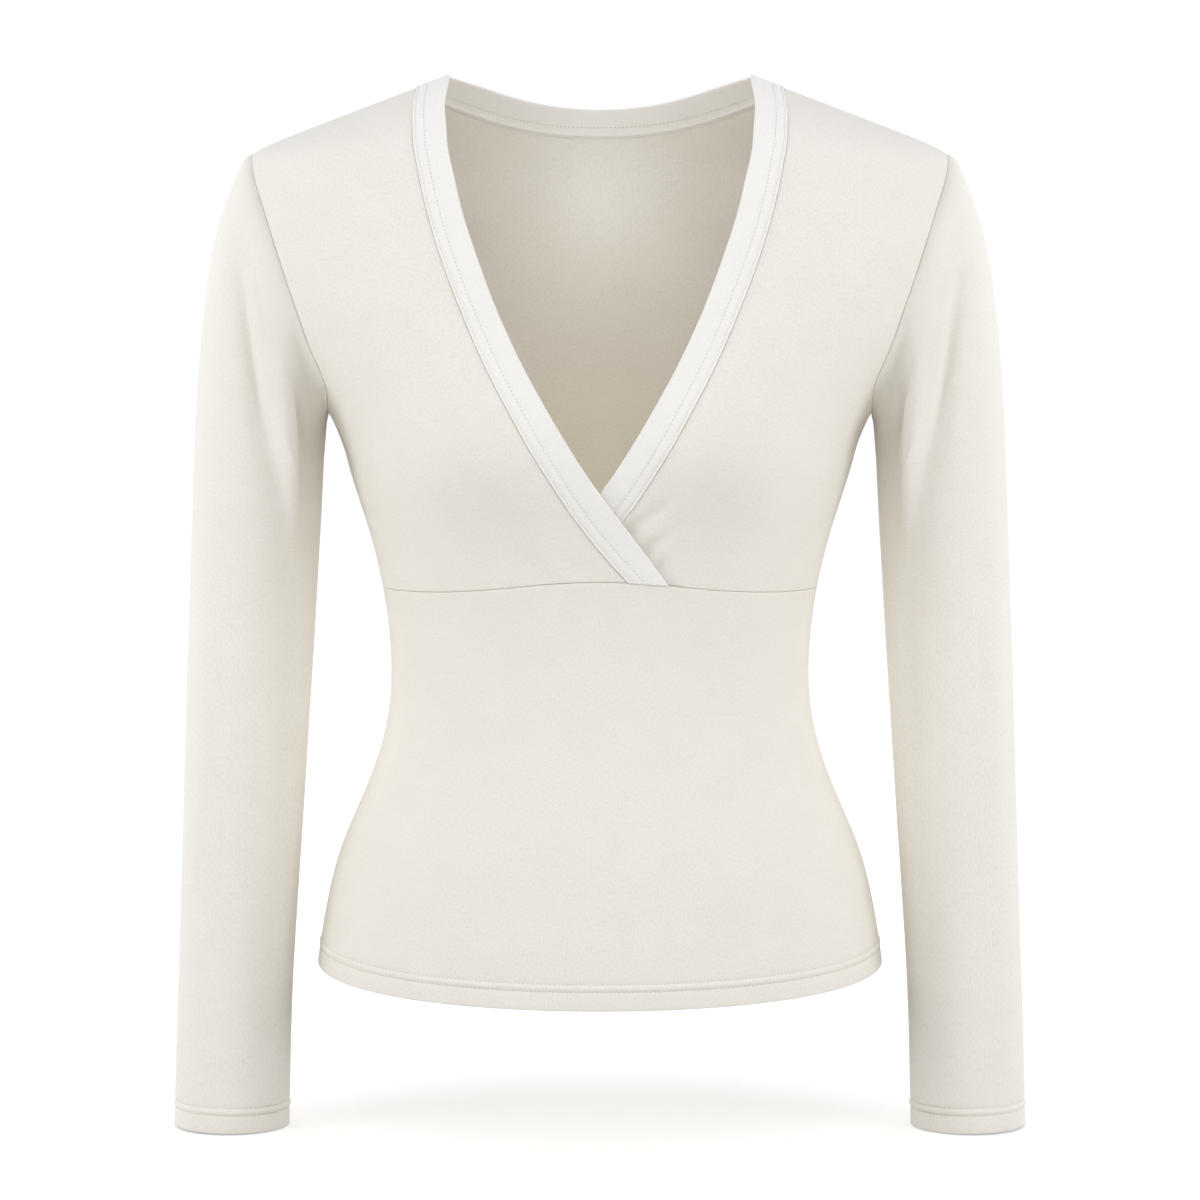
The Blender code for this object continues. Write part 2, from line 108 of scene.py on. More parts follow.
# %% Floor and light
FLOOR_GAP = 0.0004
FLOOR_REACH = 2.9
FLOOR_SIDES = 96
FLOOR_WHITE = (0.71, 0.70, 0.665)
FLOOR_SHADE = (0.70, 0.69, 0.655)
FLOOR_GLOW = 0.45
FLOOR_GLOW_TINT = (1.0, 0.99, 0.975, 1.0)
SKY_LIGHT = 0.72
SKY_SEEN = 1.05
LAMP_TINT = (0.970, 0.990, 1.065)
SKY_TINT = (*LAMP_TINT, 1.0)
INNER_TINT = (0.94, 0.985, 1.09)
WARM_TINT = (1.0, 0.88, 0.68)
AIMED_AT = (0.0, 0.0, -0.3)

Lamp = namedtuple("Lamp", "name kind place size power tint")
LAMPS = [
    Lamp("front_lamp", "AREA", (0.0, -2.0, 2.3), 2.4, 8.5, LAMP_TINT),
    Lamp("left_lamp", "AREA", (2.22, -1.21, 0.30), 1.5, 19.4, LAMP_TINT),
    Lamp("right_lamp", "AREA", (-2.22, -1.21, 0.30), 1.5, 20.0, LAMP_TINT),
    Lamp("left_rear_lamp", "AREA", (1.9, 2.0, 0.1), 1.6, 15.5, LAMP_TINT),
    Lamp("right_rear_lamp", "AREA", (-1.9, 2.0, 0.1), 1.6, 15.5, LAMP_TINT),
    Lamp("light_at_neck", "POINT", (0.0, 0.030, -0.080), 0.07, 0.062, INNER_TINT),
    Lamp("light_through_cloth", "POINT", (0.0, 0.010, -0.210), 0.07, 0.040, WARM_TINT),
]


def aimed(place, target):
    """The rotation that turns a lamp's beam, its local -Z axis, from its place to the target."""
    beam = np.array(target) - np.array(place)
    across = math.hypot(beam[0], beam[1])
    return math.atan2(across, -beam[2]), 0.0, math.atan2(beam[0], -beam[1]) + math.pi


def feed(tree, shader, inputs):
    """Sets each input to its value, or links it where another node's output is given."""
    for name, value in inputs.items():
        socket = shader.inputs[name]
        if isinstance(value, bpy.types.NodeSocket):
            tree.links.new(value, socket)
        else:
            socket.default_value = value


def shader_node(tree, kind, output, inputs=None, **settings):
    """The named output of a new node of a kind, with its settings and its inputs."""
    made = tree.nodes.new(kind)
    for name, value in settings.items():
        setattr(made, name, value)
    feed(tree, made, inputs or {})
    return made.outputs[output]


def reckoned(tree, operation, *values):
    """The result of an operation on values or outputs, worked out in the shader."""
    return shader_node(tree, "ShaderNodeMath", "Value", dict(enumerate(values)),
                       operation=operation)


def ramp(tree, share, *tones):
    """A colour between two tones, each stated with the share at which it is reached."""
    colour = shader_node(tree, "ShaderNodeValToRGB", "Color", {"Fac": share})
    for element, (place, tone) in zip(colour.node.color_ramp.elements, tones):
        element.position = place
        element.color = (*tone, 1.0)
    return colour


def white_paper():
    """Plain paper with a faint mottle, so the floor isn't one flat number; it glows to the eye."""
    made = bpy.data.materials.new("white_paper")
    made.use_nodes = True
    tree = made.node_tree
    place = shader_node(tree, "ShaderNodeTexCoord", "Object")
    mottle = shader_node(tree, "ShaderNodeTexNoise", "Fac", {"Vector": place, "Scale": 3.0})
    seen = shader_node(tree, "ShaderNodeLightPath", "Is Camera Ray")
    feed(tree, tree.nodes["Principled BSDF"], {
        "Roughness": 0.95,
        "Specular IOR Level": 0.1,
        "Emission Color": FLOOR_GLOW_TINT,
        "Emission Strength": reckoned(tree, "MULTIPLY", seen, FLOOR_GLOW),
        "Base Color": ramp(tree, mottle, (0.0, FLOOR_SHADE), (1.0, FLOOR_WHITE)),
    })
    return made


floor_level = cad_low[2] - FLOOR_GAP
way_round = np.linspace(0.0, 2.0 * math.pi, FLOOR_SIDES, endpoint=False)
rim = [(FLOOR_REACH * x, FLOOR_REACH * y, floor_level)
       for x, y in zip(np.cos(way_round), np.sin(way_round))]
paper = bpy.data.meshes.new("floor")
paper.from_pydata(rim, [], [range(FLOOR_SIDES)])
paper.materials.append(white_paper())
placed("floor", paper)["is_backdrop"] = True

for lamp in LAMPS:
    light = bpy.data.lights.new(lamp.name, lamp.kind)
    light.energy = lamp.power
    light.color = lamp.tint
    made = placed(lamp.name, light)
    made.location = lamp.place
    if lamp.kind == "AREA":
        light.shape = "DISK"
        light.size = lamp.size
        made.rotation_euler = aimed(lamp.place, AIMED_AT)
    else:
        light.shadow_soft_size = lamp.size / 2.0

sky = bpy.data.worlds.new("sky")
sky.use_nodes = True
seen = shader_node(sky.node_tree, "ShaderNodeLightPath", "Is Camera Ray")
level = shader_node(sky.node_tree, "ShaderNodeMapRange", "Result",
                    {"Value": seen, "To Min": SKY_LIGHT, "To Max": SKY_SEEN})
feed(sky.node_tree, sky.node_tree.nodes["Background"], {"Color": SKY_TINT, "Strength": level})
bpy.context.scene.world = sky
bpy.context.scene.view_settings.view_transform = "Standard"
print("lamps:", ", ".join(lamp.name for lamp in LAMPS))

# %% [markdown]
# ## A smooth curve through a few numbers
#
# A tailor measures a body at a few heights and lets the cloth find its own way between.  The
# natural cubic spline does the same: it passes through every given number and bends as little as
# it can between them.

# %% Smooth curves
def joined(*values):
    """Values side by side on a new last axis: an angle and a height, or a point's x, y and z."""
    return np.stack(np.broadcast_arrays(*values), axis=-1)


def smooth_curve(places, values):
    """The natural cubic curve through the values at the places, as a function of the place.

    Between two places it is the straight line plus a cubic bow at each end, in proportion to the
    bend there; the bends solve one equation for each inner place, and are 0 at both ends.
    """
    count = len(places)
    steps = np.diff(places)
    system = np.eye(count)
    for i in range(1, count - 1):
        system[i, i - 1:i + 2] = steps[i - 1], 2.0 * (steps[i - 1] + steps[i]), steps[i]
    bends = np.zeros(count)
    bends[1:-1] = 6.0 * np.diff(np.diff(values) / steps)
    bends = np.linalg.solve(system, bends)

    def at(place):
        place = np.asarray(place, float)
        cell = np.clip(np.searchsorted(places, place) - 1, 0, count - 2)
        width = steps[cell]
        before = (places[cell + 1] - place) / width
        after = (place - places[cell]) / width
        straight = before * values[cell] + after * values[cell + 1]
        bow = (before**3 - before) * bends[cell] + (after**3 - after) * bends[cell + 1]
        return straight + bow * width**2 / 6.0

    return at


def ease(share):
    """3 s^2 - 2 s^3 for a share s kept from 0 to 1: leaves and arrives gently."""
    share = np.clip(share, 0.0, 1.0)
    return share * share * (3.0 - 2.0 * share)


print("half way up a gentle step:", float(ease(0.5)))

# %% [markdown]
# ## The body form
#
# Everything is laid on one unseen body.  It could be sculpted, but then no seam could be stated in
# numbers.  Here it is a stack of rounded outlines, with two mounds for the bust.  A place on the
# body is an angle, 0 at the centre front and +90 at the wearer's left side seam, and a height,
# which is 0 where the shoulder seams reach the neckband.

# %% The body form
BODY = np.array([      # height, half width, depth in front, depth behind, in metres
    (-0.550, 0.1700, 0.1085, 0.1205),
    (-0.519, 0.1668, 0.1080, 0.1180),
    (-0.484, 0.1612, 0.1060, 0.1130),
    (-0.452, 0.1530, 0.1025, 0.1040),
    (-0.420, 0.1397, 0.0975, 0.0925),
    (-0.390, 0.1287, 0.0930, 0.0825),
    (-0.360, 0.1232, 0.0902, 0.0755),
    (-0.330, 0.1233, 0.0898, 0.0745),
    (-0.296, 0.1277, 0.0940, 0.0800),
    (-0.262, 0.1360, 0.1015, 0.0885),
    (-0.230, 0.1461, 0.1085, 0.0950),
    (-0.197, 0.1578, 0.1105, 0.0980),
    (-0.164, 0.1815, 0.1060, 0.0990),
    (-0.130, 0.2045, 0.0988, 0.0980),
    (-0.090, 0.2150, 0.0885, 0.0940),
    (-0.060, 0.2113, 0.0795, 0.0870),
    (-0.0446, 0.2020, 0.0735, 0.0815),
    (-0.0310, 0.1713, 0.0680, 0.0735),
    (-0.0155, 0.1307, 0.0620, 0.0635),
    (0.0000, 0.0892, 0.0570, 0.0550),
    (0.0080, 0.0680, 0.0550, 0.0515),
])
FLATNESS = 0.02
BUST_ACROSS = 0.078
BUST_HEIGHT = -0.215
BUST_FULLNESS = 0.016
BUST_SPREAD = 0.050
BUST_ABOVE = 0.055
BUST_BELOW = 0.038

ROUND_STEP, UP_STEP = np.array([0.5, 0.0]), np.array([0.0, 0.0005])

half_width, front_depth, back_depth = (smooth_curve(BODY[:, 0], BODY[:, k]) for k in (1, 2, 3))


def bust(across, height):
    """Two mounds: fullness times a bell in the distance across times a bell in the height."""
    above = np.where(height > BUST_HEIGHT, BUST_ABOVE, BUST_BELOW)
    rise = np.exp(-((height - BUST_HEIGHT) / above) ** 2)
    left, right = (np.exp(-((across - middle) / BUST_SPREAD) ** 2)
                   for middle in (BUST_ACROSS, -BUST_ACROSS))
    return BUST_FULLNESS * rise * (left + right)


def body(places):
    """x is half width times sin(angle); y is depth times a flattened cos(angle), plus the bust."""
    height = places[..., 1]
    turn = np.radians(places[..., 0])
    across = half_width(height) * np.sin(turn)
    facing = np.cos(turn)
    depth = (facing - FLATNESS * np.cos(3.0 * turn)) / (1.0 - FLATNESS)
    front = front_depth(height) * depth + bust(across, height) * facing
    forward = np.where(facing > 0.0, front, back_depth(height) * depth)
    return joined(across, -forward, height)


def unit(vectors):
    """Each vector divided by its own length."""
    return vectors / np.linalg.norm(vectors, axis=-1, keepdims=True)


def outward(places):
    """The body's normal: the way round crossed with the way up, from four near points."""
    round_body = body(places + ROUND_STEP) - body(places - ROUND_STEP)
    up_body = body(places + UP_STEP) - body(places - UP_STEP)
    return unit(np.cross(round_body, up_body))


def walked(points):
    """How far each point of a line is from its start, along the chords between the points."""
    return np.concatenate([[0.0], np.cumsum(np.linalg.norm(np.diff(points, axis=0), axis=1))])


girth = walked(body(joined(np.linspace(0.0, 360.0, 361), BUST_HEIGHT)))[-1]
print("bust, m round:", round(float(girth), 3))

# %% [markdown]
# ## Seam lines
#
# A pattern cutter draws seams on the body first and cuts the cloth to them.  Each line here is a
# function from a share of its length to a place, so that neighbours can use the very same line and
# always meet.  The neckline needs a table, because it turns from the back of the neck over the
# shoulder into the long slanting wrap edge.  Its rows are placed by the distance walked, and three
# rows of the other side are added at the centre back, so that the curve crosses it level.

# %% Seam lines
SIDE_ANGLE = 90.0
BEHIND = 180.0
SHOULDER_POINT = -0.0446
UNDERARM = -0.1950
SHOULDER_NECK = -0.0062
HEM_SIDE = -0.5183
HEM_FRONT_DROP = 0.0122
HEM_BACK_DROP = 0.0080
EMPIRE_SIDE = -0.2970
EMPIRE_RISE = 0.0080
EMPIRE_SPREAD = 30.0

ARMHOLE = np.array([   # share of its height, distance from the middle of the body
    (0.00, 0.1588), (0.06, 0.1572), (0.22, 0.1643), (0.37, 0.1722), (0.51, 0.1795),
    (0.65, 0.1866), (0.82, 0.1953), (0.95, 0.2011), (1.00, 0.2020),
])
NECK = np.array([      # seam angle, seam height, edge angle, edge height
    (180.0, -0.0311, 180.0, -0.0152),
    (161.0, -0.0262, 157.5, -0.0101),
    (142.0, -0.0170, 137.0, -0.0037),
    (117.0, -0.0093, 114.0, -0.0002),
    (90.0, -0.0062, 90.0, 0.0006),
    (74.0, -0.0080, 73.5, -0.0005),
    (61.4, -0.0117, 54.6, -0.0065),
    (51.5, -0.0176, 43.8, -0.0142),
    (41.8, -0.0269, 35.7, -0.0232),
    (34.2, -0.0380, 28.9, -0.0343),
    (30.6, -0.0479, 25.3, -0.0441),
    (28.9, -0.0610, 23.3, -0.0565),
    (27.2, -0.0790, 21.8, -0.0735),
    (25.2, -0.1020, 19.8, -0.0953),
    (22.6, -0.1412, 16.8, -0.1340),
    (19.5, -0.1852, 12.8, -0.1768),
    (16.3, -0.2077, 9.6, -0.1976),
    (11.8, -0.2294, 5.1, -0.2191),
    (6.7, -0.2501, -0.1, -0.2391),
    (0.5, -0.2703, -7.0, -0.2610),
    (-7.0, -0.2893, -17.5, -0.2912),
])


def mirrored(places, about=360.0):
    """The same places with the angle taken from 360 or 0, on the other side, or 180, behind."""
    return joined(about - places[..., 0], places[..., 1])


armhole_across = smooth_curve(ARMHOLE[:, 0], ARMHOLE[:, 1])
neck_walk = walked(0.5 * (body(NECK[:, :2]) + body(NECK[:, 2:])))
neck_places = neck_walk / neck_walk[-1]
past_middle = np.hstack([mirrored(NECK[3:0:-1, :2]), mirrored(NECK[3:0:-1, 2:])])
neck_curves = [smooth_curve(np.concatenate([-neck_places[3:0:-1], neck_places]),
                            np.concatenate([past_middle[:, k], NECK[:, k]])) for k in range(4)]
SHOULDER_PLACE = neck_places[NECK[:, 0] == SIDE_ANGLE][0]


def hem_height(angle):
    """Level at the sides, and lower by a drop times |cos(angle)| in front and behind."""
    facing = np.cos(np.radians(angle))
    drop = np.where(facing > 0.0, HEM_FRONT_DROP * facing, -HEM_BACK_DROP * facing)
    return HEM_SIDE - drop


def empire_height(angle):
    """The seam under the bust: level, with a bell-shaped rise at the centre front."""
    return EMPIRE_SIDE + EMPIRE_RISE * np.exp(-((angle / EMPIRE_SPREAD) ** 2))


def armhole(share):
    """From the underarm, 0, to the shoulder point, 1, on the front of the left side.

    The height runs evenly; the angle is the one whose sine reaches the distance in the table.
    """
    height = UNDERARM + (SHOULDER_POINT - UNDERARM) * share
    reach = np.clip(armhole_across(share) / half_width(height), 0.0, 1.0)
    ends = (share <= 0.0) | (share >= 1.0)
    return joined(np.where(ends, SIDE_ANGLE, np.degrees(np.arcsin(reach))), height)


def neckline(place, share):
    """Place runs from the centre back, 0, to the band's end, 1; share from the seam to the edge."""
    seam_angle, seam_height, edge_angle, edge_height = [curve(place) for curve in neck_curves]
    return joined(seam_angle + share * (edge_angle - seam_angle),
                seam_height + share * (edge_height - seam_height))


print("the neckline crosses the shoulder at place", round(float(SHOULDER_PLACE), 3))

# %% [markdown]
# ## Cloth between four sides
#
# Every cut piece has four sides, however curved.  A Coons patch fills them: it adds the two ruled
# surfaces that join opposite sides and takes away the flat one through the corners.  It is filled
# in angle and height, so it lies exactly on the body.  Sides are walked at an even pace, or the
# grid would bunch up where a line's own numbers run fast.

# %% Sides and patches
def even(line):
    """The same line at an even pace, by a table of its chords' lengths; and its whole length."""
    fine = np.linspace(0.0, 1.0, 401)
    lengths = walked(body(line(fine)))
    return (lambda share: line(np.interp(share * lengths[-1], lengths, fine))), lengths[-1]


def side(*lines):
    """One side from lines laid end to end, each with a share in proportion to its length."""
    walks, lengths = zip(*(even(line) for line in lines))
    ends = np.cumsum(lengths) / sum(lengths)

    def at(share):
        share = np.asarray(share, float)
        made = walks[0](np.clip(share / ends[0], 0.0, 1.0))
        for k in range(1, len(walks)):
            inner = np.clip((share - ends[k - 1]) / (ends[k] - ends[k - 1]), 0.0, 1.0)
            made = np.where((share > ends[k - 1])[..., None], walks[k](inner), made)
        return made

    return at


def mix(start, stop, share):
    """(1 - share) of the start plus the share of the stop."""
    return (1.0 - share) * start + share * stop


def between(bottom, top, first, last, lean=1.0):
    """The Coons patch between four sides; a lean over 1 keeps the top's shape near the top."""
    def at(across, up):
        across, up = np.broadcast_arrays(across, up)
        weight = np.clip(up, 0.0, 1.0)[..., None] ** lean
        over = across[..., None]
        ruled_up = mix(bottom(across), top(across), weight)
        ruled_across = mix(first(up), last(up), over)
        low, high = (mix(edge(0.0), edge(1.0), over) for edge in (bottom, top))
        return ruled_up + ruled_across - (1.0 - weight) * low - weight * high

    return at


# %% [markdown]
# ## How cloth ends
#
# At a seam both cloths roll inward over about a millimetre.  At a hem the cloth comes back up
# inside, held by two rows of stitches with a puffed strip between them.  Each kind of edge is a
# table of grid lines: a distance from the edge, and how deep the line lies.  Bump in a material
# could only pretend this, and would vanish in profile.

# %% Edge tables
SEAM_ROLL = 0.0005
SEAM_TUCK = 0.0009
SEAM_HALF_GAP = 0.0001
FOLD_ROLL = 0.00075
TURN_UP = 0.015
ROWS_ABOVE_FOLD = (0.0107, 0.0150)
GROOVE = 0.00045
PUFF = 0.00065
MM = 0.001


def rolled(radius, start, steps):
    """Part of a round roll, from a start in degrees to 0: distance r(1 - sin), depth r(1 - cos)."""
    turn = np.radians(np.linspace(start, 0.0, steps))
    return joined(radius * (1.0 - np.sin(turn)), radius * (1.0 - np.cos(turn)))


def table(*rows):
    """Distances and depths stated in millimetres, as an array in metres."""
    return np.array(rows, float) * MM


def seam_roll(size):
    """A seam's tuck, its quarter roll, of full size 1 or smaller, and two flat lines."""
    edge = np.concatenate([[(0.0, size * SEAM_TUCK)], rolled(size * SEAM_ROLL, 90.0, 4),
                           table((1.9, 0.0), (3.6, 0.0))])
    edge[:, 0] += size * SEAM_HALF_GAP
    return edge


seam_edge = seam_roll(1.0)
lower_row, upper_row = ROWS_ABOVE_FOLD
hem_edge = np.concatenate([
    [(TURN_UP + 0.7 * MM, 2.0 * FOLD_ROLL), (0.010, 2.0 * FOLD_ROLL), (0.004, 2.0 * FOLD_ROLL)],
    rolled(FOLD_ROLL, 180.0, 7),
    table((2.6, 0.0), (6.0, 0.0), (9.4, 0.0)),
    [(lower_row - 0.5 * MM, 0.5 * GROOVE), (lower_row, GROOVE), (lower_row + 0.5 * MM, 0.0),
     (lower_row + 1.3 * MM, -0.8 * PUFF), (0.5 * (lower_row + upper_row), -PUFF),
     (upper_row - 1.3 * MM, -0.8 * PUFF), (upper_row - 0.5 * MM, 0.0), (upper_row, GROOVE),
     (upper_row + 0.6 * MM, 0.4 * GROOVE), (upper_row + 1.6 * MM, 0.0)],
    table((19.0, 0.0)),
])
print("lines at a seam:", len(seam_edge), " at a hem:", len(hem_edge))

# %% [markdown]
# ## A grid that knows its edges
#
# The edge tables are in metres, but a patch is walked in shares.  A pace relates them: how many
# metres one unit of share covers near an edge, square to it.  Dividing a distance by the pace puts
# every line where the table wants it, all along a curved seam, and the lines between the two edges
# are spread evenly.

# %% Grids with edges
NUDGE = 0.002
LEAST_SQUARE = 0.6


def lines_between(low_edge, high_edge, cells):
    """Share, distance from the low edge, distance from the high edge and depth of each line."""
    share = np.linspace(0.0, 1.0, cells + 1)[1:-1]
    low = [(0.0, distance, 0.0, depth) for distance, depth in low_edge]
    high = [(1.0, 0.0, distance, depth) for distance, depth in high_edge[::-1]]
    middle = joined(share, (1.0 - share) * low_edge[-1, 0], share * high_edge[-1, 0], 0.0)
    return np.concatenate([low, middle, high])


def pace(surface, along, end, runs_across):
    """Metres a unit of share covers square to an edge: step crossed with the edge's direction.

    The edge lies at share end, 0 or 1.  Where grid lines graze it, as at the underarm's corner,
    part of the plain step is used.
    """
    def at(along, inward):
        return surface(along, inward) if runs_across else surface(inward, along)

    leaving = at(along, NUDGE if end == 0.0 else 1.0 - NUDGE) - at(along, end)
    ahead, behind = (np.clip(along + step, 0.0, 1.0) for step in (NUDGE, -NUDGE))
    square = np.linalg.norm(np.cross(leaving, unit(at(ahead, end) - at(behind, end))), axis=-1)
    straight = np.linalg.norm(leaving, axis=-1)
    return np.maximum(square, LEAST_SQUARE * straight) / NUDGE


def spread(lines, surface, along, runs_across):
    """Each line's share, plus its distances from both edges divided by the pace there."""
    low, high = (pace(surface, along, end, runs_across)[:, None] for end in (0.0, 1.0))
    return lines[:, 0] + lines[:, 1] / low - lines[:, 2] / high


def laid_out(surface, columns, rows):
    """Shares across and up of every grid point, and the depth that its column and row ask for."""
    middle = np.array([0.5])
    column_shares = np.clip(spread(columns, surface, middle, False)[0], 0.0, 1.0)
    row_shares = np.clip(spread(rows, surface, middle, True)[0], 0.0, 1.0)
    across = spread(columns, surface, row_shares, False)
    up = spread(rows, surface, column_shares, True).T
    return across, up, *np.broadcast_arrays(columns[:, 3], rows[:, 3:])


def on_body(places_at):
    """A patch of places as a surface of points."""
    return lambda across, up: body(places_at(across, up))


# %% [markdown]
# ## From points to cloth
#
# The points go into a mesh as whole arrays.  Each face corner gets its place in the flat cloth,
# in metres, as a UV: the knit is drawn on that, so it runs with the piece.  The wall comes from a
# Solidify modifier on the inner side, which leaves the outer face where it was worked out.

# %% Making a piece of cloth
CLOTH_WALL = 0.0006
OTHER_SIDE = np.array([-1.0, 1.0, 1.0])
made_cloth = {}


def corners(grid):
    """The four corners of every cell of a grid, in the order of a face."""
    return np.stack([grid[:-1, :-1], grid[:-1, 1:], grid[1:, 1:], grid[1:, :-1]], axis=2)


def smooth_mesh(name, points, faces):
    """A new object with a smooth mesh of points and faces."""
    mesh = bpy.data.meshes.new(name)
    mesh.from_pydata(points.reshape(-1, 3), [], faces)
    mesh.shade_smooth()
    return placed(name, mesh)


def cloth(name, points, flat_place, closed=False):
    """Rows by columns of points as a sheet of quads; closed joins the last column to the first."""
    rows, columns = points.shape[:2]
    if closed:
        points = points[:, :-1]
    index = np.arange(rows * points.shape[1]).reshape(rows, -1)
    if closed:
        index = np.hstack([index, index[:, :1]])
    made = smooth_mesh(name, points, corners(index).reshape(-1, 4))
    layer = made.data.uv_layers.new(name="cloth")
    layer.data.foreach_set("uv", corners(flat_place).astype(np.float32).ravel())
    wall = made.modifiers.new("wall", "SOLIDIFY")
    wall.offset = -1.0
    wall.thickness = CLOTH_WALL
    made_cloth[name] = made
    print(name, "has", rows, "by", columns, "points")


# %% [markdown]
# ## Creases
#
# Where the two fronts cross, the cloth dents in short soft troughs that fan out from the band.
# Elsewhere a filled top shows only faint, broad ones, from the underarm and at the waist.  A
# simulation would scatter them; each is placed as a line on the body with a width, a depth, a
# sideways bow, and how soon it fades in and out.

# %% Creases on the body
Crease = namedtuple("Crease", "angle height to_angle to_height width depth bow lead tail")
CREASES = {            # widths, depths and bows in millimetres
    "left_front": [
        (5.0, -0.2625, 21.0, -0.2290, 3.8, 2.1, 2.0, 0.05, 0.80),
        (9.0, -0.2745, 22.0, -0.2480, 3.4, 1.8, 1.0, 0.05, 0.75),
        (13.0, -0.2840, 20.0, -0.2700, 2.8, 1.4, 0.0, 0.05, 0.80),
        (8.0, -0.2680, 30.0, -0.2380, 5.0, -0.7, 2.0, 0.20, 0.70),
        (88.0, -0.2050, 60.0, -0.2250, 9.0, 1.0, 4.0, 0.15, 0.75),
    ],
    "right_front": [
        (3.0, -0.2885, 12.5, -0.2640, 4.5, 0.6, 1.0, 0.20, 0.70),
        (9.0, -0.2915, 24.0, -0.2600, 6.0, 0.6, 2.0, 0.20, 0.70),
        (6.0, -0.2900, 19.0, -0.2610, 5.0, -0.5, 2.0, 0.20, 0.70),
        (88.0, -0.2080, 64.0, -0.2350, 8.0, 0.9, -3.0, 0.15, 0.75),
    ],
    "lower": [
        (-84.0, -0.3620, -50.0, -0.3560, 9.0, 1.0, 3.0, 0.25, 0.70),
        (85.0, -0.3700, 56.0, -0.3610, 10.0, 0.9, -3.0, 0.25, 0.70),
    ],
    "back": [
        (172.0, -0.3500, 108.0, -0.3380, 10.0, 1.6, 6.0, 0.30, 0.45),
        (188.0, -0.3600, 246.0, -0.3440, 9.0, 1.4, -5.0, 0.30, 0.50),
        (165.0, -0.3320, 192.0, -0.3350, 8.0, 1.2, -4.0, 0.40, 0.40),
        (110.0, -0.3800, 160.0, -0.3680, 11.0, -1.1, 5.0, 0.35, 0.55),
        (205.0, -0.3750, 250.0, -0.3860, 10.0, -1.0, 4.0, 0.35, 0.55),
        (98.0, -0.2100, 128.0, -0.1750, 9.0, 1.4, 6.0, 0.15, 0.75),
        (262.0, -0.2080, 236.0, -0.1680, 8.0, 1.2, -5.0, 0.15, 0.75),
        (150.0, -0.0560, 170.0, -0.0900, 11.0, 0.8, 4.0, 0.30, 0.60),
        (211.0, -0.0560, 192.0, -0.0980, 12.0, 0.8, -4.0, 0.30, 0.60),
    ],
}


def creased(piece, places):
    """Depth of a piece's creases: depth times a bell across the line times a fade along it.

    Places are unrolled first, to the angle times the half width there, so widths are in metres.
    """
    def unrolled(angle, height):
        return joined(np.radians(angle) * half_width(height), height)

    total = np.zeros(places.shape[:-1])
    flat = unrolled(places[..., 0], places[..., 1])
    for crease in map(Crease._make, CREASES[piece]):
        start = unrolled(crease.angle, crease.height)
        line = unrolled(crease.to_angle, crease.to_height) - start
        length = math.hypot(*line)
        share = (flat - start) @ line / length**2
        aside = (flat - start) @ (line[::-1] * np.array([1.0, -1.0])) / length
        aside = aside - crease.bow * MM * 4.0 * share * (1.0 - share)
        fade = ease(share / crease.lead) * ease((1.0 - share) / crease.tail)
        total = total + crease.depth * MM * fade * np.exp(-((aside / (crease.width * MM)) ** 2))
    return total


print("creases placed by hand:", sum(len(creases) for creases in CREASES.values()))

# %% [markdown]
# ## The sleeve's form
#
# A set-in sleeve starts as the armhole's loop and ends as a nearly round cuff.  Between them lies
# a fan of slanted rings, each stated by its outer and inner end and its half depth, and near the
# armhole the rings are pulled onto the real loop.

# %% The sleeve's form
SLEEVE = np.array([    # outer x, outer z, inner x, inner z, middle y, half depth
    (0.2020, -0.0446, 0.1588, -0.1950, 0.000, 0.0540),
    (0.2050, -0.0463, 0.1592, -0.1959, 0.000, 0.0545),
    (0.2098, -0.0527, 0.1597, -0.1974, 0.000, 0.0550),
    (0.2181, -0.0730, 0.1602, -0.2002, 0.000, 0.0560),
    (0.2259, -0.1004, 0.1607, -0.2043, 0.000, 0.0560),
    (0.2314, -0.1353, 0.1612, -0.2113, 0.000, 0.0540),
    (0.2350, -0.1740, 0.1620, -0.2260, -0.001, 0.0500),
    (0.2376, -0.2172, 0.1629, -0.2436, -0.001, 0.0460),
    (0.2392, -0.2620, 0.1640, -0.2680, -0.002, 0.0435),
    (0.2408, -0.3054, 0.1664, -0.3054, -0.003, 0.0420),
    (0.2428, -0.3645, 0.1703, -0.3645, -0.006, 0.0400),
    (0.2447, -0.4238, 0.1741, -0.4238, -0.008, 0.0385),
    (0.2467, -0.4833, 0.1782, -0.4833, -0.010, 0.0365),
    (0.2487, -0.5430, 0.1815, -0.5430, -0.013, 0.0345),
    (0.2509, -0.6130, 0.1833, -0.6140, -0.015, 0.0330),
])
CAP_FADE = 0.22
TURN_STEP, DOWN_STEP = 0.02, 0.004
sleeve_curves = [smooth_curve(np.linspace(0.0, 1.0, len(SLEEVE)), SLEEVE[:, k]) for k in range(6)]


def outer_share(turn):
    """How far out a turn lies, (1 + cos(turn)) / 2: 1 at the outer end, 0 at the inner one."""
    return 0.5 + 0.5 * np.cos(turn)


def ring(turn, down):
    """An oval: the outer share from its inner end, and sin(turn) times its half depth."""
    outer_x, outer_z, inner_x, inner_z, middle_y, half_depth = [c(down) for c in sleeve_curves]
    outer = outer_share(turn)
    return joined(inner_x + (outer_x - inner_x) * outer, middle_y - half_depth * np.sin(turn),
                  inner_z + (outer_z - inner_z) * outer)


def armhole_loop(turn):
    """Places all round the armhole: the front's for turns over 0, and the back's."""
    places = armhole(outer_share(turn))
    return np.where((np.sin(turn) > 0.0)[..., None], places, mirrored(places, BEHIND))


